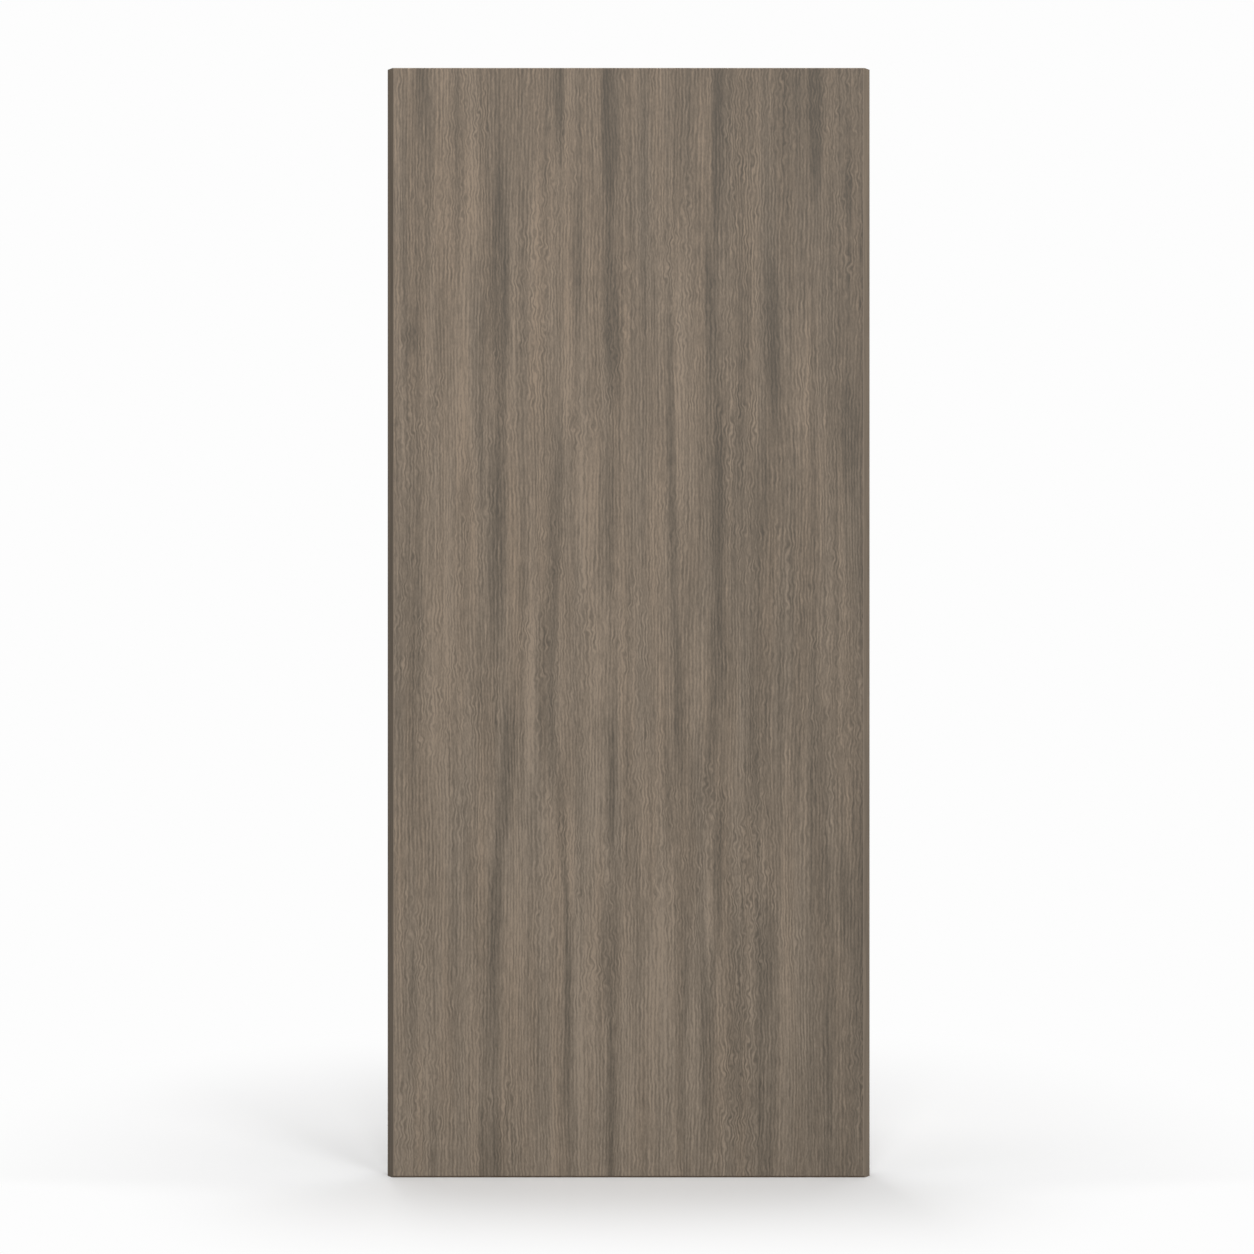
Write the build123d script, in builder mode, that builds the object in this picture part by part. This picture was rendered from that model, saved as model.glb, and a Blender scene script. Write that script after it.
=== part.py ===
# Flush interior door leaf in a wood decor, with both long edges bevelled front and back. Millimetres.
# The origin is at the foot of the hinge edge, in the middle of the leaf's thickness.
# +X runs across the leaf to the lock edge, -Y faces the viewer and +Z is up.

import math
import os

from build123d import *

# Leaf
leaf_height = 2100.0
leaf_width = 915.0
leaf_thickness = 40.0
edge_bevel = 12.5           # each 45 degree bevel, measured across the face
bottom_easing = 4.0         # eased arris along the foot of each face
top_easing = 1.5            # eased arris along the head of each face

# Facings, from the outside in
laminate_thickness = 0.8    # decor laminate
board_thickness = 3.2       # hard fibreboard under the laminate
band_thickness = 0.8        # decor band wrapped round the bevels of each long edge

# Timber frame between the facings
stile_width = 42.0          # from the outside of the band to the core
top_rail_height = 60.0
bottom_rail_height = 80.0

# Tubular chipboard core
tube_skin = 4.0             # chipboard between a tube and the facing
tube_web = 5.0              # chipboard between two tubes

# Lock blocks, one beside each stile, so that the leaf can be hung on either hand
block_height = 380.0
block_middle = 1020.0       # height of the middle of the block, where a lock goes
block_tubes = 4             # tubes of the core that a block takes the place of

# Worked out from the sizes above
half_thickness = leaf_thickness / 2
leaf_middle = leaf_width / 2
facing_thickness = laminate_thickness + board_thickness
frame_thickness = leaf_thickness - 2 * facing_thickness
core_width = leaf_width - 2 * stile_width
core_height = leaf_height - top_rail_height - bottom_rail_height
tube_diameter = frame_thickness - 2 * tube_skin
tube_pitch = tube_diameter + tube_web
tube_count = int((core_width - tube_web) // tube_pitch)
core_margin = (core_width - tube_count * tube_pitch) / 2
block_width = core_margin + block_tubes * tube_pitch
block_foot = block_middle - block_height / 2

# A 45 degree bevel moved in by the band's thickness starts this much further along the faces.
inner_bevel = edge_bevel + (math.sqrt(2) - 1) * band_thickness

pieces = {}


def bevelled_section(width, bevel):
    """Plan of the leaf, or of what is inside its edge bands: a rectangle with bevelled corners."""
    with BuildSketch() as section:
        with Locations((leaf_middle, 0)):
            Rectangle(width, leaf_thickness)
        chamfer(section.vertices(), length=bevel)
    return section.sketch


def ease_arrises(outward):
    """Cut the eased foot and head of one face, outward -1 or +1 in Y, on the piece being built."""
    face = outward * half_thickness
    foot = Plane((0, face, bottom_easing), x_dir=(1, 0, 0), z_dir=(0, -outward, 1))
    head = Plane((0, face, leaf_height - top_easing), x_dir=(1, 0, 0), z_dir=(0, -outward, -1))
    split(bisect_by=foot, keep=Keep.TOP)
    split(bisect_by=head, keep=Keep.TOP)


leaf_section = bevelled_section(leaf_width, edge_bevel)
inner_section = bevelled_section(leaf_width - 2 * band_thickness, inner_bevel)

# Facings: a board and its laminate on each face. They end on the bevel, under the edge band.
layers = (
    ("laminate", half_thickness - laminate_thickness / 2, laminate_thickness),
    ("board", half_thickness - laminate_thickness - board_thickness / 2, board_thickness),
)
for side, outward in (("front", -1), ("back", 1)):
    for layer, depth, thickness in layers:
        with BuildPart() as facing:
            with BuildSketch():
                add(inner_section)
                with Locations((leaf_middle, outward * depth)):
                    Rectangle(leaf_width, thickness, mode=Mode.INTERSECT)
            extrude(amount=leaf_height)
            ease_arrises(outward)
        pieces[f"{side}_{layer}"] = facing

# Edges: on each long edge the stile carries the bevels, and the band wraps bevel, edge and bevel.
for edge, stile_middle in (("hinge", stile_width / 2), ("lock", leaf_width - stile_width / 2)):
    with BuildPart() as stile:
        with BuildSketch():
            add(inner_section)
            with Locations((stile_middle, 0)):
                Rectangle(stile_width, frame_thickness, mode=Mode.INTERSECT)
        extrude(amount=leaf_height)
    pieces[f"{edge}_stile"] = stile

    with BuildPart() as band:
        with BuildSketch():
            add(leaf_section)
            add(inner_section, mode=Mode.SUBTRACT)
            with Locations((stile_middle, 0)):
                Rectangle(stile_width, leaf_thickness, mode=Mode.INTERSECT)
        extrude(amount=leaf_height)
        for outward in (-1, 1):
            ease_arrises(outward)
    pieces[f"{edge}_edge_band"] = band

# Rails: they stand between the stiles at the foot and the head of the leaf.
rails = (
    ("bottom_rail", 0, bottom_rail_height),
    ("top_rail", leaf_height - top_rail_height, top_rail_height),
)
for rail_name, foot, height in rails:
    with BuildPart() as rail:
        with BuildSketch(Plane.XY.offset(foot)):
            with Locations((leaf_middle, 0)):
                Rectangle(core_width, frame_thickness)
        extrude(amount=height)
    pieces[rail_name] = rail

# Lock blocks: each stands against a stile, in a notch of the core.
block_middles = {
    "hinge": stile_width + block_width / 2,
    "lock": leaf_width - stile_width - block_width / 2,
}
for edge, middle in block_middles.items():
    with BuildPart() as block:
        with BuildSketch(Plane.XY.offset(block_foot)):
            with Locations((middle, 0)):
                Rectangle(block_width, frame_thickness)
        extrude(amount=block_height)
    pieces[f"{edge}_side_block"] = block

# Core: a chipboard panel with a row of upright tubes, notched round the lock blocks.
with BuildPart() as tube_core:
    with BuildSketch(Plane.XY.offset(bottom_rail_height)):
        with Locations((leaf_middle, 0)):
            Rectangle(core_width, frame_thickness)
            with GridLocations(tube_pitch, 0, tube_count, 1):
                Circle(tube_diameter / 2, mode=Mode.SUBTRACT)
    extrude(amount=core_height)
    with BuildSketch(Plane.XY.offset(block_foot)):
        with Locations(*[(middle, 0) for middle in block_middles.values()]):
            Rectangle(block_width, frame_thickness)
    extrude(amount=block_height, mode=Mode.SUBTRACT)
pieces["tube_core"] = tube_core

os.makedirs("parts", exist_ok=True)
for node, piece in pieces.items():
    piece.part.label = node
    export_step(piece.part, f"parts/{node}.step")
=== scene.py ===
import bpy
import math
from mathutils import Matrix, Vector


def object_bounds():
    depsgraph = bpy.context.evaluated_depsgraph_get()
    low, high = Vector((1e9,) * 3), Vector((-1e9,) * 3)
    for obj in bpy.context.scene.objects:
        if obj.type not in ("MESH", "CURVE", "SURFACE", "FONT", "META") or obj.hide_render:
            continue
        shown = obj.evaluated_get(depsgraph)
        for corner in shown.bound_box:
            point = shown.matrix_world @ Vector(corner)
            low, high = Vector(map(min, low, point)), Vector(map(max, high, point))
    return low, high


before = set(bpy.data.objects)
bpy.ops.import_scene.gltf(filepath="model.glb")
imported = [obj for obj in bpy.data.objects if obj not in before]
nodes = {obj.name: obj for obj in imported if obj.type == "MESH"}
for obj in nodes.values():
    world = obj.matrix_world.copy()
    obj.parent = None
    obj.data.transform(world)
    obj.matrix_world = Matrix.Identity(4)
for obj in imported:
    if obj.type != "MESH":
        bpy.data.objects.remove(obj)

cadLow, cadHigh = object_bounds()    # the solids' own box, straight after loading
scene = bpy.context.scene
scene.view_settings.view_transform = "Standard"
print("frame loaded with", len(nodes), "pieces")


# a socket that can be used in Python sums: each sum adds a Math node
class Field:
    def __init__(self, finish, socket):
        self.finish = finish
        self.socket = socket

    def math(self, operation, *values):
        sockets = {}
        for place, value in enumerate(values):
            sockets[place] = value
        return self.finish.add("ShaderNodeMath", {"operation": operation}, sockets)

    def out(self, name):
        return Field(self.finish, self.socket.node.outputs[name])

    def __add__(self, other):
        return self.math("ADD", self, other)

    def __radd__(self, other):
        return self.math("ADD", other, self)

    def __sub__(self, other):
        return self.math("SUBTRACT", self, other)

    def __rsub__(self, other):
        return self.math("SUBTRACT", other, self)

    def __mul__(self, other):
        return self.math("MULTIPLY", self, other)

    def __rmul__(self, other):
        return self.math("MULTIPLY", other, self)

    def __truediv__(self, other):
        return self.math("DIVIDE", self, other)

    def __rtruediv__(self, other):
        return self.math("DIVIDE", other, self)

    def __pow__(self, other):
        return self.math("POWER", self, other)

    def sine(self):
        return self.math("SINE", self)

    def fraction(self):
        return self.math("FRACT", self)

    def size(self):
        return self.math("ABSOLUTE", self)

    def most(self, other):
        return self.math("MAXIMUM", self, other)

    # 0 below the first value, the top value above the second, eased between them
    def between(self, low, high, top=1.0):
        settings = {"interpolation_type": "SMOOTHSTEP"}
        sockets = {"Value": self, "From Min": low, "From Max": high, "To Min": 0.0, "To Max": top}
        return self.finish.add("ShaderNodeMapRange", settings, sockets)


# one material or world, and the nodes in it
class Finish:
    def __init__(self, name, holder=None):
        self.holder = holder or bpy.data.materials.new(name)
        self.holder.use_nodes = True
        self.tree = self.holder.node_tree
        self.tree.nodes.clear()

    def add(self, kind, settings=None, sockets=None, output=0):
        node = self.tree.nodes.new(kind)
        for name, value in (settings or {}).items():
            setattr(node, name, value)
        for name, value in (sockets or {}).items():
            if isinstance(value, Field):
                self.tree.links.new(value.socket, node.inputs[name])
            else:
                node.inputs[name].default_value = value
        return Field(self, node.outputs[output]) if len(node.outputs) else node

    def place(self):
        where = self.add("ShaderNodeTexCoord", {}, {}, "Object")
        apart = self.add("ShaderNodeSeparateXYZ", {}, {0: where})
        return apart.out("X"), apart.out("Y"), apart.out("Z")

    def join(self, x, y, z):
        return self.add("ShaderNodeCombineXYZ", {}, {0: x, 1: y, 2: z})

    # noise from -0.5 to 0.5 at a place already scaled to the size of its features
    def noise(self, x, y, z, detail):
        sockets = {"Vector": self.join(x, y, z), "Scale": 1.0, "Detail": detail}
        return self.add("ShaderNodeTexNoise", {}, sockets) - 0.5

    # noise with so many features to the metre along each axis
    def spread(self, place, fineness, detail):
        return self.noise(*[part * fine for part, fine in zip(place, fineness)], detail)

    def mix(self, factor, first, second):
        return self.add("ShaderNodeMix", {"data_type": "RGBA"}, {0: factor, 6: first, 7: second}, 2)

    def surface(self, shader):
        kind = "ShaderNodeOutputMaterial"
        if isinstance(self.holder, bpy.types.World):
            kind = "ShaderNodeOutputWorld"
        self.add(kind, {}, {"Surface": shader})

    # the relief and the specular level come from the piece's own settings
    def principled(self, color, roughness, height, settings):
        relief = {"Height": height, "Distance": settings["reliefDepth"]}
        relief["Strength"] = settings["reliefStrength"]
        sockets = {"Base Color": color, "Roughness": roughness}
        sockets["Normal"] = self.add("ShaderNodeBump", {}, relief)
        sockets["Specular IOR Level"] = settings["specular"]
        self.surface(self.add("ShaderNodeBsdfPrincipled", {}, sockets))


def opaque(color):
    return (*color, 1.0)


def dress(node, finish):
    mesh = nodes[node].data
    mesh.materials.clear()
    mesh.materials.append(finish.holder)


leafWidth = cadHigh.x - cadLow.x
leafHeight = cadHigh.z - cadLow.z
leafMiddle = (cadLow.x + cadHigh.x) / 2


# Camera: level, square to the face, at about eye height for a 50 mm lens
camera = {
    "lens": 50.0,
    "sensor": 36.0,
    "across": 0.4544,
    "height": 1.042,
    "distance": 3.2945,    # from the front face
}

cameraData = bpy.data.cameras.new("camera")
cameraData.lens = camera["lens"]
cameraData.sensor_width = camera["sensor"]
cameraObject = bpy.data.objects.new("camera", cameraData)
cameraObject.location = (camera["across"], cadLow.y - camera["distance"], camera["height"])
cameraObject.rotation_euler = (math.radians(90.0), 0.0, 0.0)
scene.collection.objects.link(cameraObject)
scene.camera = cameraObject
print("camera placed")


# Decor laminate: grey-brown oak print with long dark streaks and fine wavy ridges
decor = {
    "darkTone": (0.0910, 0.0745, 0.0570),
    "warmTone": (0.2960, 0.2270, 0.1650),
    "coolTone": (0.2800, 0.2250, 0.1710),
    "warmRise": 0.8,           # the print is a little warmer towards the head
    "warmSwing": 2.0,
    "middle": 0.482,           # tone halfway across and up, from 0 for dark to 1 for light
    "slope": -0.22,            # the print darkens a little from the hinge side to the lock side
    "paintedHeadShade": -0.17,             # painted shade: darker from the foot to the head, offsetting the stronger light the lamps give the head
    "lift": 0.38,              # softens the darkest places and brightens the palest
    "drift": 0.012,            # sideways wander of the grain, in metres
    "shakeShare": 0.25,
    "wobble": 0.008,           # sideways wobble of the streaks, in metres
    "streakWidth": 2.1,        # a streak's soft edge runs out past its half width
    "streakLength": 0.62,      # and past its ends
    "streakDepth": 1.13,
    "streakRagged": 0.5,
    "spotEdge": 0.7,
    "ridgePitch": 0.0066,
    "ridgeEven": 0.6,          # how much of the ridge shows everywhere
    "ridgeCurl": 0.25,         # how much more in the curls
    "ridgeBroken": 2.0,        # and how far it comes and goes
    "straightWave": 0.9,       # sideways wave of the fine lines, in ridge pitches
    "wavyWave": 1.7,
    "curlWave": 2.2,
    "swayWave": 4.0,
    "livelyRange": (-0.08, 0.14),
    "poreRange": (0.10, 0.26),
    "gleamRange": (0.08, 0.26),
    "roughness": 0.55,
    "fibreRough": 0.10,
    "poreRough": 0.06,
    "specular": 0.20,
    "reliefDepth": 0.00006,
    "reliefStrength": 0.6,
    # how much each layer adds to the tone
    "depths": {
        "band": 0.20,
        "broad": 0.58,
        "mid": 0.70,
        "thread": 0.40,
        "ridge": 0.25,
        "line": 0.45,
        "pore": -0.16,
        "fibre": 0.45,
        "speck": 0.34,
        "gleam": 0.16,
    },
    # features to the metre across and up, seed and detail of each noise
    "noises": {
        "drift": (3.0, 0.9, 4.0, 1.0),
        "shake": (14.0, 5.0, 9.0, 1.0),
        "wobble": (25.0, 7.0, 18.0, 1.0),
        "band": (8.0, 0.25, 11.0, 1.0),
        "broad": (22.0, 0.45, 1.0, 2.0),
        "mid": (75.0, 1.6, 2.0, 2.0),
        "thread": (170.0, 4.0, 17.0, 1.0),
        "ragged": (130.0, 5.0, 13.0, 1.0),
        "lively": (11.0, 2.6, 20.0, 2.0),
        "wave": (70.0, 44.0, 3.0, 1.0),
        "sway": (12.0, 2.0, 5.0, 1.0),
        "curl": (66.0, 32.0, 14.0, 1.0),
        "broken": (55.0, 16.0, 6.0, 1.0),
        "line": (270.0, 38.0, 15.0, 0.0),
        "pore": (330.0, 11.0, 7.0, 1.0),
        "fibre": (520.0, 34.0, 8.0, 2.0),
        "speck": (430.0, 170.0, 16.0, 0.0),
        "gleam": (260.0, 7.0, 19.0, 1.0),
        "warmth": (26.0, 2.0, 12.0, 2.0),
        "relief": (300.0, 18.0, 21.0, 1.0),
    },
    # across at the foot and at the head, foot, head and half width of each streak in metres, and its depth
    "streaks": [
        (0.214, 0.215, 1.40, 2.02, 0.011, -0.40),
        (0.206, 0.216, 1.00, 1.50, 0.012, -0.36),
        (0.213, 0.238, 0.58, 0.95, 0.010, -0.32),
        (0.195, 0.211, 0.34, 0.66, 0.010, -0.30),
        (0.194, 0.196, 0.12, 0.42, 0.010, -0.24),
        (0.202, 0.196, -0.10, 0.16, 0.017, -0.30),
        (0.418, 0.426, 1.74, 2.30, 0.011, -0.36),
        (0.431, 0.420, 1.45, 1.80, 0.011, -0.32),
        (0.411, 0.425, 1.05, 1.42, 0.012, -0.18),
        (0.424, 0.427, 0.58, 0.92, 0.006, -0.32),
        (0.405, 0.405, 0.78, 0.92, 0.010, -0.14),
        (0.420, 0.421, 0.27, 0.58, 0.010, -0.30),
        (0.424, 0.423, -0.10, 0.34, 0.006, -0.36),
        (0.328, 0.326, 1.93, 2.20, 0.008, -0.30),
        (0.356, 0.364, 1.56, 1.88, 0.006, -0.22),
        (0.314, 0.324, 1.00, 1.46, 0.010, -0.24),
        (0.304, 0.302, 0.74, 1.12, 0.014, -0.24),
        (0.342, 0.316, 0.50, 0.88, 0.006, -0.28),
        (0.344, 0.342, -0.10, 0.56, 0.005, -0.22),
        (0.294, 0.296, 0.00, 0.52, 0.014, -0.12),
        (0.625, 0.627, 1.72, 2.30, 0.007, -0.36),
        (0.619, 0.606, 1.48, 1.80, 0.007, -0.22),
        (0.625, 0.629, 1.02, 1.50, 0.009, -0.34),
        (0.625, 0.629, 0.86, 1.12, 0.012, -0.26),
        (0.607, 0.619, 0.68, 0.94, 0.007, -0.26),
        (0.619, 0.629, 0.38, 0.74, 0.007, -0.28),
        (0.603, 0.609, 0.00, 0.38, 0.012, -0.14),
        (0.543, 0.536, 1.08, 1.68, 0.006, -0.22),
        (0.561, 0.547, 0.70, 1.10, 0.007, -0.20),
        (0.533, 0.537, 0.58, 0.88, 0.007, -0.15),
        (0.458, 0.455, 0.52, 0.90, 0.010, -0.14),
        (0.738, 0.727, 1.38, 1.78, 0.009, -0.30),
        (0.808, 0.809, 1.84, 2.22, 0.010, -0.30),
        (0.785, 0.787, 1.96, 2.22, 0.016, -0.14),
        (0.706, 0.708, 1.12, 1.44, 0.012, -0.15),
        (0.704, 0.708, 0.64, 1.06, 0.015, -0.11),
        (0.716, 0.714, 0.28, 0.56, 0.013, -0.20),
        (0.719, 0.713, -0.12, 0.34, 0.012, -0.18),
        (0.877, 0.871, 1.28, 1.54, 0.012, -0.20),
        (0.871, 0.869, 1.80, 1.92, 0.008, -0.18),
        (0.834, 0.826, 0.44, 0.66, 0.012, -0.22),
        (0.871, 0.863, 0.42, 0.64, 0.009, -0.22),
        (0.845, 0.838, 0.04, 0.48, 0.011, -0.24),
        (0.848, 0.846, -0.12, 0.12, 0.018, -0.16),
        (0.825, 0.807, 0.58, 0.90, 0.012, -0.12),
        (0.899, 0.897, 0.00, 0.90, 0.010, -0.12),
        (0.721, 0.721, -0.20, 0.55, 0.045, -0.04),
        (0.855, 0.855, -0.20, 0.60, 0.040, -0.05),
        (0.138, 0.134, 1.70, 2.16, 0.005, -0.18),
        (0.158, 0.144, 0.44, 0.84, 0.007, -0.16),
        (0.046, 0.050, 1.55, 1.64, 0.008, -0.22),
        (0.064, 0.066, 1.94, 2.20, 0.010, -0.14),
        (0.106, 0.104, 1.44, 1.80, 0.005, -0.14),
        (0.044, 0.046, 0.60, 1.40, 0.006, -0.14),
        (0.078, 0.082, 1.66, 2.16, 0.006, -0.14),
        (0.174, 0.170, 1.24, 1.72, 0.007, -0.16),
        (0.146, 0.148, 0.98, 1.44, 0.006, -0.14),
        (0.090, 0.084, 0.28, 0.90, 0.006, -0.12),
        (0.186, 0.190, 0.72, 1.16, 0.020, -0.12),
        (0.360, 0.360, -0.30, 2.40, 0.070, 0.08),
        (0.505, 0.505, -0.30, 2.40, 0.060, 0.08),
        (0.182, 0.186, 1.56, 1.68, 0.006, -0.10),
        (0.086, 0.088, -0.06, 0.18, 0.008, -0.16),
        (0.046, 0.048, 0.16, 0.44, 0.005, -0.16),
        (0.106, 0.100, 1.60, 2.00, 0.014, 0.10),
        (0.136, 0.138, 1.30, 1.54, 0.011, 0.13),
        (0.116, 0.122, 0.86, 1.28, 0.010, 0.18),
        (0.166, 0.164, 1.72, 2.00, 0.010, 0.15),
        (0.270, 0.270, 1.44, 1.92, 0.028, 0.08),
        (0.272, 0.274, 0.72, 1.12, 0.011, 0.20),
        (0.248, 0.254, 0.36, 0.72, 0.014, 0.12),
        (0.374, 0.378, 1.10, 1.48, 0.013, 0.14),
        (0.342, 0.346, 1.42, 1.72, 0.010, 0.13),
        (0.352, 0.342, 0.48, 0.74, 0.008, 0.24),
        (0.370, 0.376, 0.06, 0.54, 0.016, 0.11),
        (0.568, 0.566, 1.10, 1.88, 0.017, 0.20),
        (0.591, 0.591, 1.86, 2.10, 0.010, 0.14),
        (0.579, 0.585, 0.78, 1.08, 0.010, 0.21),
        (0.609, 0.611, 0.40, 0.58, 0.008, 0.22),
        (0.581, 0.577, 0.00, 0.38, 0.011, 0.21),
        (0.507, 0.513, 1.06, 1.38, 0.012, 0.10),
        (0.510, 0.520, 0.08, 0.62, 0.016, 0.10),
        (0.663, 0.659, 0.46, 0.90, 0.014, 0.13),
        (0.781, 0.781, 1.32, 1.66, 0.012, 0.14),
        (0.785, 0.779, 0.10, 0.74, 0.022, 0.11),
    ],
    # across, height, half width and half height of the places where the ridge curls, in metres
    "curls": [
        (0.676, 1.86, 0.075, 0.26),
        (0.660, 1.42, 0.065, 0.20),
        (0.285, 1.54, 0.040, 0.15),
        (0.258, 1.74, 0.034, 0.11),
        (0.180, 2.00, 0.034, 0.10),
        (0.186, 0.90, 0.055, 0.13),
        (0.262, 1.00, 0.030, 0.10),
        (0.688, 0.57, 0.070, 0.22),
        (0.672, 0.22, 0.075, 0.30),
        (0.240, 0.12, 0.036, 0.16),
        (0.836, 0.72, 0.034, 0.12),
        (0.800, 1.50, 0.040, 0.14),
        (0.770, 1.12, 0.050, 0.16),
    ],
}


# a soft oval on the face: 0 outside it, the top value in its middle
def spot(finish, flat, across, height, halfWidth, halfHeight, lean=0.0, top=1.0):
    sockets = {"Vector": flat, "Location": (across, 0.0, height), "Rotation": (0.0, lean, 0.0)}
    sockets["Scale"] = (halfWidth, 1.0, halfHeight)
    mapped = finish.add("ShaderNodeMapping", {"vector_type": "TEXTURE"}, sockets)
    cone = finish.add("ShaderNodeTexGradient", {"gradient_type": "SPHERICAL"}, {0: mapped}, "Fac")
    return cone.between(0.0, decor["spotEdge"], top)


# all the streaks, dark ones below 0 and pale ones above
def streakFigure(finish, flat):
    figure = 0.0
    for atFoot, atHead, foot, head, halfWidth, depth in decor["streaks"]:
        across = (atFoot + atHead) / 2
        height = (foot + head) / 2
        reach = (halfWidth * decor["streakWidth"], (head - foot) * decor["streakLength"])
        lean = math.atan2(atHead - atFoot, head - foot)
        figure = figure + spot(finish, flat, across, height, *reach, lean, decor["streakDepth"] * depth)
    return figure


def decorFinish(name, turned):
    finish = Finish(name)
    x, y, z = finish.place()
    across = leafWidth - x if turned else x    # the back has the front's print, as seen from behind
    depths = decor["depths"]

    def noise(layer, sideways):
        fineAcross, fineUp, seed, detail = decor["noises"][layer]
        return finish.noise(sideways * fineAcross, z * fineUp, seed, detail)

    drift = noise("drift", across) + decor["shakeShare"] * noise("shake", across)
    grain = across + decor["drift"] * drift
    flat = finish.join(across + decor["wobble"] * noise("wobble", across), 0.0, z)

    tone = decor["middle"] + decor["slope"] * (across / leafWidth - 0.5)
    # painted shade: the tone darkens towards the head to offset the lamps' stronger light there
    tone = tone + decor["paintedHeadShade"] * (z / leafHeight - 0.5)
    for layer in ("band", "broad", "mid", "thread"):
        tone = tone + depths[layer] * noise(layer, grain)
    ragged = 1.0 + decor["streakRagged"] * noise("ragged", grain)
    tone = tone + streakFigure(finish, flat) * ragged

    # fine ridges and lines, straight in places, wavy in others and curled in a few
    curl = 0.0
    for oval in decor["curls"]:
        curl = curl + spot(finish, flat, *oval)
    lively = noise("lively", across).between(*decor["livelyRange"])
    wave = decor["straightWave"] + decor["wavyWave"] * lively
    warp = wave * noise("wave", across) + decor["swayWave"] * noise("sway", across)
    warp = warp + decor["curlWave"] * curl * noise("curl", across)
    wavy = grain + decor["ridgePitch"] * warp
    ridge = (wavy * (2 * math.pi / decor["ridgePitch"])).sine()
    share = decor["ridgeEven"] + decor["ridgeCurl"] * curl + decor["ridgeBroken"] * noise("broken", across)
    tone = tone + depths["ridge"] * ridge * share.most(0.0) + depths["line"] * noise("line", wavy)

    # pores, fibre, specks and pale threads
    pores = noise("pore", grain).between(*decor["poreRange"])
    fibre = noise("fibre", wavy)
    gleam = noise("gleam", grain).between(*decor["gleamRange"])
    tone = tone + depths["pore"] * pores + depths["fibre"] * fibre
    tone = tone + depths["speck"] * noise("speck", across) + depths["gleam"] * gleam
    offMiddle = tone - 0.5
    tone = tone + decor["lift"] * offMiddle * offMiddle

    warmth = 0.5 + decor["warmRise"] * (z / leafHeight - 0.5) + decor["warmSwing"] * noise("warmth", grain)
    light = finish.mix(warmth, opaque(decor["coolTone"]), opaque(decor["warmTone"]))
    color = finish.mix(tone, opaque(decor["darkTone"]), light)
    roughness = decor["roughness"] + decor["fibreRough"] * fibre + decor["poreRough"] * pores
    finish.principled(color, roughness, noise("relief", grain) - pores, decor)
    return finish


dress("front_laminate", decorFinish("frontDecor", False))
dress("back_laminate", decorFinish("backDecor", True))
print("laminates finished")


# Edge band: the same print in straight grain, with a paler line on the two faces that is partly its real
# trimmed core and partly a painted highlight along the arris
band = {
    "darkTone": (0.0910, 0.0745, 0.0570),
    "lightTone": (0.2850, 0.2240, 0.1650),
    # paler line at the band's edges on the faces: partly the real core, partly a painted highlight
    "coreAndHighlightTone": (0.235, 0.190, 0.148),
    "coreAndHighlightDepth": 0.0001,
    # painted shade: the hinge band's tone is set below the lock band's, standing for the shade on the
    # bevel that faces away from the key
    "hinge": {"seed": 3.0, "shade": 0.36},
    "lock": {"seed": 11.0, "shade": 0.40},
    # features to the metre across and up, and how much each layer adds to the tone
    "layers": {
        "broad": (60.0, 1.2, 0.50),
        "mid": (160.0, 4.0, 0.50),
        "fibre": (480.0, 14.0, 0.60),
    },
    "detail": 2.0,
    "roughness": 0.55,
    "fibreRough": 0.12,
    "cutRough": 0.2,
    "specular": 0.20,
    "reliefDepth": 0.00006,
    "reliefStrength": 0.6,
}


def bandFinish(name, seed, shade):
    finish = Finish(name)
    x, y, z = finish.place()
    tone = shade
    made = {}
    for layer, (fineAcross, fineUp, depth) in band["layers"].items():
        made[layer] = finish.noise(x * fineAcross, y * fineAcross, z * fineUp + seed, band["detail"])
        tone = tone + depth * made[layer]
    color = finish.mix(tone, opaque(band["darkTone"]), opaque(band["lightTone"]))
    # painted highlight, partly real: the last fraction of a millimetre before each face takes the paler
    # tone, for the trimmed core and the light an eased arris would catch
    coreAndHighlight = y.size().between(cadHigh.y - 2 * band["coreAndHighlightDepth"], cadHigh.y - band["coreAndHighlightDepth"])
    color = finish.mix(coreAndHighlight, color, opaque(band["coreAndHighlightTone"]))
    roughness = band["roughness"] + band["fibreRough"] * made["fibre"] + band["cutRough"] * coreAndHighlight
    finish.principled(color, roughness, made["mid"] + made["fibre"], band)
    return finish


# the hinge band carries painted shade in its darker tone
dress("hinge_edge_band", bandFinish("hingeBandPaintedShade", **band["hinge"]))
dress("lock_edge_band", bandFinish("lockBand", **band["lock"]))
print("edge bands finished")


# Fibreboard: brown pressed fibre, seen at the eased arrises and the board ends
board = {
    "darkTone": (0.070, 0.045, 0.028),
    "lightTone": (0.230, 0.160, 0.105),
    "clumpFine": (180.0, 700.0, 180.0),    # features to the metre across, through and up
    "clumpDetail": 3.0,
    "clumpDepth": 0.7,
    "speckFine": (1400.0, 1800.0, 1400.0),
    "speckDetail": 2.0,
    "speckDepth": 0.9,
    "roughness": 0.80,
    "speckRough": 0.2,
    "specular": 0.25,
    "reliefDepth": 0.0002,
    "reliefStrength": 0.7,
}


def boardFinish(name):
    finish = Finish(name)
    place = finish.place()
    clumps = finish.spread(place, board["clumpFine"], board["clumpDetail"])
    speck = finish.spread(place, board["speckFine"], board["speckDetail"])
    tone = 0.5 + board["clumpDepth"] * clumps + board["speckDepth"] * speck
    color = finish.mix(tone, opaque(board["darkTone"]), opaque(board["lightTone"]))
    roughness = board["roughness"] + board["speckRough"] * speck
    finish.principled(color, roughness, speck + clumps, board)
    return finish


fibreboard = boardFinish("fibreboard")
for node in ("front_board", "back_board"):
    dress(node, fibreboard)
print("boards finished")


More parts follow.
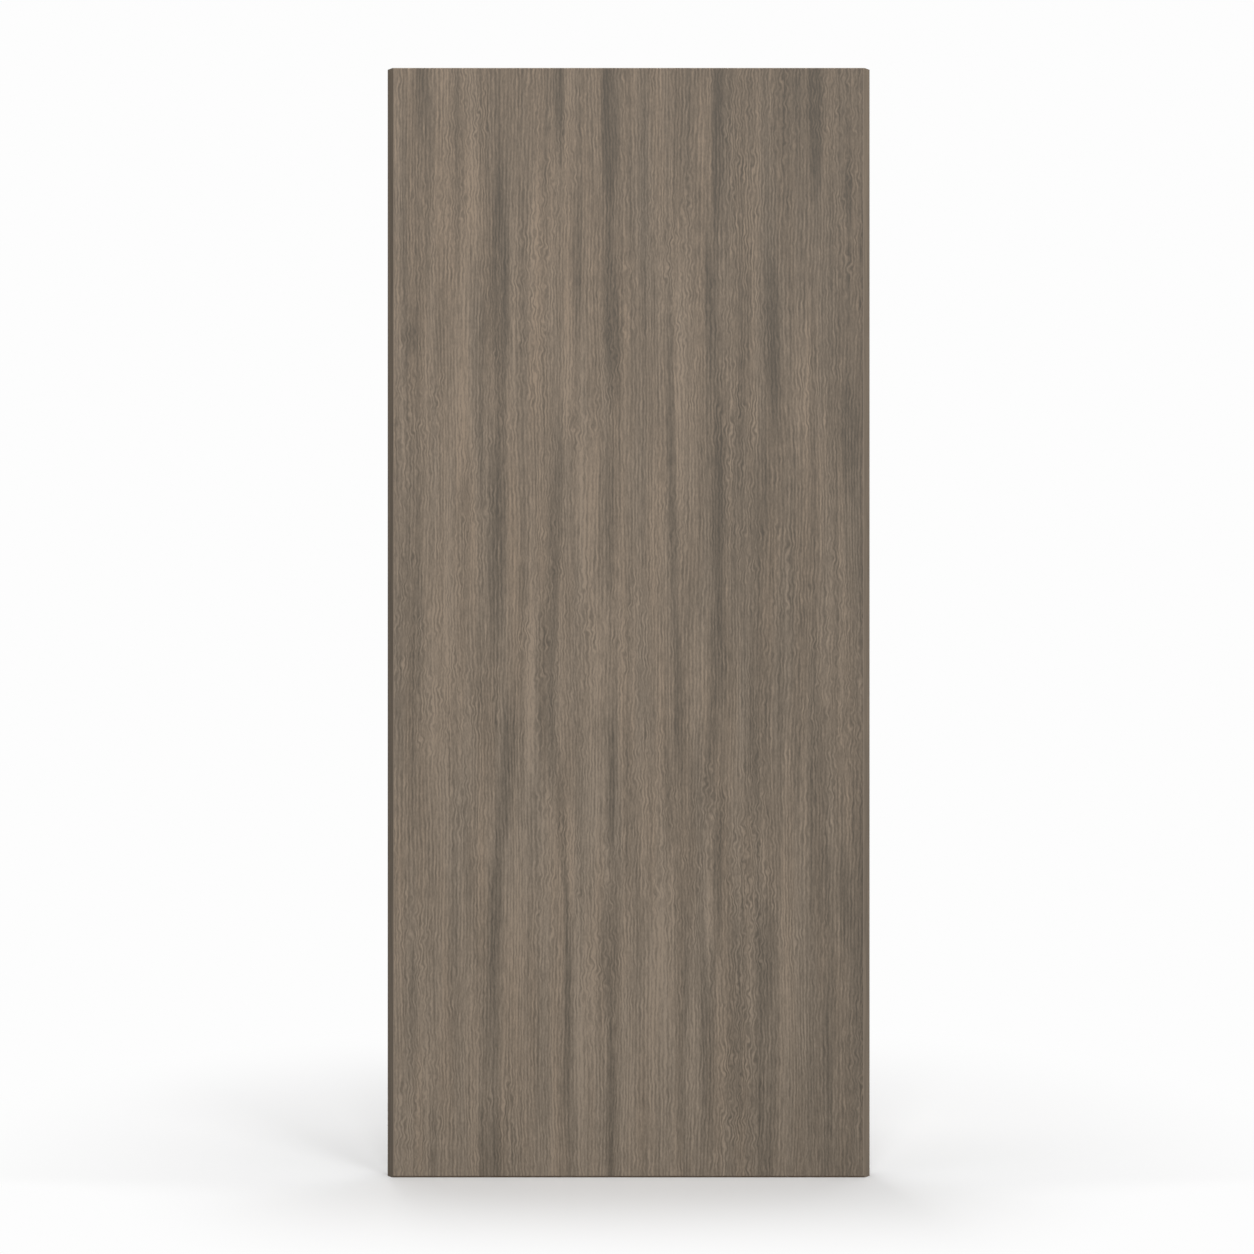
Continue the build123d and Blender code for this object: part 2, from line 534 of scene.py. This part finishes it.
# Softwood frame and lock blocks: growth rings round a pith that lies outside the piece
timber = {
    "earlyTone": (0.470, 0.360, 0.235),
    "lateTone": (0.310, 0.195, 0.105),
    "ringPitch": 0.0034,
    "lateRise": (0.35, 0.92),              # where a ring darkens, and where it ends
    "lateFall": (0.94, 1.0),
    "bend": 0.006,
    "bendFine": (1.5, 4.0, 4.0),           # features to the metre along, across and through
    "uneven": 0.4,
    "unevenFine": (120.0, 0.5),
    "unevenSeed": 2.0,
    "fibreFine": (900.0, 900.0, 22.0),     # across, through and along
    "fibreDepth": 0.5,
    "stainFine": (20.0, 20.0, 3.0),
    "stainDepth": 0.5,
    "smooth": 1.0,                         # detail of the slow noises and of the fine ones
    "fine": 2.0,
    "ringRelief": 0.4,
    "roughness": 0.62,
    "fibreRough": 0.2,
    "specular": 0.3,
    "reliefDepth": 0.0002,
    "reliefStrength": 0.6,
    # name of the finish, whether the grain is upright, and the pith across the piece and through the leaf
    "pieces": {
        "hinge_stile": ("hingeStileTimber", True, -0.030, 0.060),
        "lock_stile": ("lockStileTimber", True, leafWidth + 0.045, -0.070),
        "top_rail": ("topRailTimber", False, leafHeight - 0.120, 0.050),
        "bottom_rail": ("bottomRailTimber", False, 0.150, -0.055),
        "hinge_side_block": ("hingeBlockTimber", True, 0.020, 0.080),
        "lock_side_block": ("lockBlockTimber", True, leafWidth - 0.010, -0.065),
    },
}


def timberFinish(name, upright, pithAcross, pithDeep):
    finish = Finish(name)
    x, y, z = finish.place()
    along, across = (z, x) if upright else (x, z)
    bend = timber["bend"] * finish.spread((along, across, y), timber["bendFine"], timber["smooth"])
    side = across - pithAcross + bend
    deep = y - pithDeep + bend
    radius = (side * side + deep * deep) ** 0.5
    fineOut, fineAlong = timber["unevenFine"]
    uneven = finish.noise(radius * fineOut, along * fineAlong, timber["unevenSeed"], timber["smooth"])
    ring = (radius / timber["ringPitch"] + timber["uneven"] * uneven).fraction()
    late = ring.between(*timber["lateRise"]) * (1.0 - ring.between(*timber["lateFall"]))
    fibre = finish.spread((side, deep, along), timber["fibreFine"], timber["fine"])
    stain = finish.spread((side, deep, along), timber["stainFine"], timber["fine"])
    tone = late + timber["fibreDepth"] * fibre + timber["stainDepth"] * stain
    color = finish.mix(tone, opaque(timber["earlyTone"]), opaque(timber["lateTone"]))
    roughness = timber["roughness"] + timber["fibreRough"] * fibre
    finish.principled(color, roughness, fibre + timber["ringRelief"] * late, timber)
    return finish


for node, piece in timber["pieces"].items():
    dress(node, timberFinish(*piece))
print("timber finished")


# Chipboard: pressed flakes, in the tubular core
chipboard = {
    "darkTone": (0.260, 0.170, 0.090),
    "lightTone": (0.560, 0.420, 0.270),
    "middle": 0.25,
    "flakeFine": (260.0, 400.0, 130.0),    # flakes to the metre across, through and up
    "flakeDepth": 0.6,
    "wander": 0.6,
    "wanderFine": (90.0, 90.0, 90.0),
    "speckFine": (1200.0, 1200.0, 1200.0),
    "speckDepth": 0.8,
    "detail": 2.0,
    "roughness": 0.85,
    "speckRough": 0.2,
    "specular": 0.2,
    "reliefDepth": 0.0004,
    "reliefStrength": 0.6,
}


def chipboardFinish(name):
    finish = Finish(name)
    place = finish.place()
    wander = chipboard["wander"] * finish.spread(place, chipboard["wanderFine"], chipboard["detail"])
    cell = finish.join(*[part * fine + wander for part, fine in zip(place, chipboard["flakeFine"])])
    flake = finish.add("ShaderNodeTexVoronoi", {"feature": "F1"}, {"Vector": cell, "Scale": 1.0}, "Color")
    shade = finish.add("ShaderNodeSeparateXYZ", {}, {0: flake})
    speck = finish.spread(place, chipboard["speckFine"], chipboard["detail"])
    tone = chipboard["middle"] + chipboard["flakeDepth"] * shade + chipboard["speckDepth"] * speck
    color = finish.mix(tone, opaque(chipboard["darkTone"]), opaque(chipboard["lightTone"]))
    roughness = chipboard["roughness"] + chipboard["speckRough"] * speck
    finish.principled(color, roughness, shade - flake.out("Distance"), chipboard)
    return finish


dress("tube_core", chipboardFinish("chipboard"))
print("core finished")


# Floor: pale, keeps the shadow near the leaf and runs out to plain white
floor = {
    "reach": 60.0,
    "tone": (0.90, 0.90, 0.90),
    "bounceTone": (0.34, 0.34, 0.34),
    "white": 0.982,
    "fadeFrom": 0.20,
    "fadeTo": 1.35,
    "sideRun": 1.3,            # the fade is quicker beside the leaf and quickest in front
    "frontRun": 2.6,
    "rearRun": 1.15,
    "frontEase": 0.15,
}

bpy.ops.object.select_all(action="DESELECT")
bpy.ops.mesh.primitive_plane_add(size=floor["reach"], location=(leafMiddle, 0.0, 0.0))
floorObject = bpy.context.object
floorObject.name = "floor"
bpy.ops.object.transform_apply(location=True, rotation=False, scale=False)


# camera rays, and those that a gloss or glass passes on
def seenDirectly(finish):
    seen = finish.add("ShaderNodeLightPath", {}, {}, "Is Camera Ray")
    return seen.most(seen.out("Is Glossy Ray")).most(seen.out("Is Transmission Ray"))


floorFinish = Finish("paleFloor")
floorX, floorY, floorZ = floorFinish.place()
beside = ((floorX - leafMiddle).size() - leafWidth / 2).most(0.0)
before = (-1.0 * floorY).between(0.0, floor["frontEase"])
sideways = beside * (floor["sideRun"] + floor["sideRun"] * before)
ahead = (floor["rearRun"] * floorY).most(-floor["frontRun"] * floorY)
away = (sideways * sideways + ahead * ahead) ** 0.5
seen = seenDirectly(floorFinish)
floorColor = floorFinish.mix(seen, opaque(floor["bounceTone"]), opaque(floor["tone"]))
lit = floorFinish.add("ShaderNodeBsdfDiffuse", {}, {"Color": floorColor})
plain = floorFinish.add("ShaderNodeEmission", {}, {"Color": opaque((floor["white"],) * 3)})
fade = away.between(floor["fadeFrom"], floor["fadeTo"]) * seen
floorFinish.surface(floorFinish.add("ShaderNodeMixShader", {}, {0: fade, 1: lit, 2: plain}))
floorObject.data.materials.append(floorFinish.holder)
print("floor laid")


# Light: a soft key from the right, a broad one in front, a high overhead,
# a low fill behind and a dim even surround
surround = {"strength": 0.05, "light": (1.0, 1.0, 1.0), "seen": (0.982, 0.982, 0.982)}
softboxes = {
    "key": {
        "at": (10.02, -9.56, 3.80),
        "aim": (0.4575, 0.0, 1.10),
        "size": (4.4, 3.6),
        "power": 880.0,
    },
    "front": {
        "at": (0.10, -11.50, 6.60),
        "aim": (0.4575, 0.0, 1.10),
        "size": (8.0, 4.5),
        "power": 860.0,
    },
    "overhead": {
        "at": (0.4575, 0.32, 8.0),
        "aim": (0.4575, 0.32, 0.0),
        "size": (3.6, 2.4),
        "power": 380.0,
    },
    "rear": {
        "at": (-2.0, 6.4, 1.2),
        "aim": (0.4575, 0.02, 1.1),
        "size": (2.4, 2.0),
        "power": 190.0,
    },
}

world = bpy.data.worlds.new("studio")
scene.world = world
studio = Finish("studio", world)
studioSeen = seenDirectly(studio)
dimSockets = {"Color": opaque(surround["light"]), "Strength": surround["strength"]}
dim = studio.add("ShaderNodeBackground", {}, dimSockets)
white = studio.add("ShaderNodeBackground", {}, {"Color": opaque(surround["seen"]), "Strength": 1.0})
studio.surface(studio.add("ShaderNodeMixShader", {}, {0: studioSeen, 1: dim, 2: white}))

for name, box in softboxes.items():
    lightData = bpy.data.lights.new(name, "AREA")
    lightData.shape = "RECTANGLE"
    lightData.size, lightData.size_y = box["size"]
    lightData.energy = box["power"]
    light = bpy.data.objects.new(name, lightData)
    light.location = box["at"]
    goX, goY, goZ = [aim - at for at, aim in zip(box["at"], box["aim"])]
    light.rotation_euler = (math.atan2(math.hypot(goX, goY), -goZ), 0.0, math.atan2(-goX, goY))
    scene.collection.objects.link(light)
print("lights set")
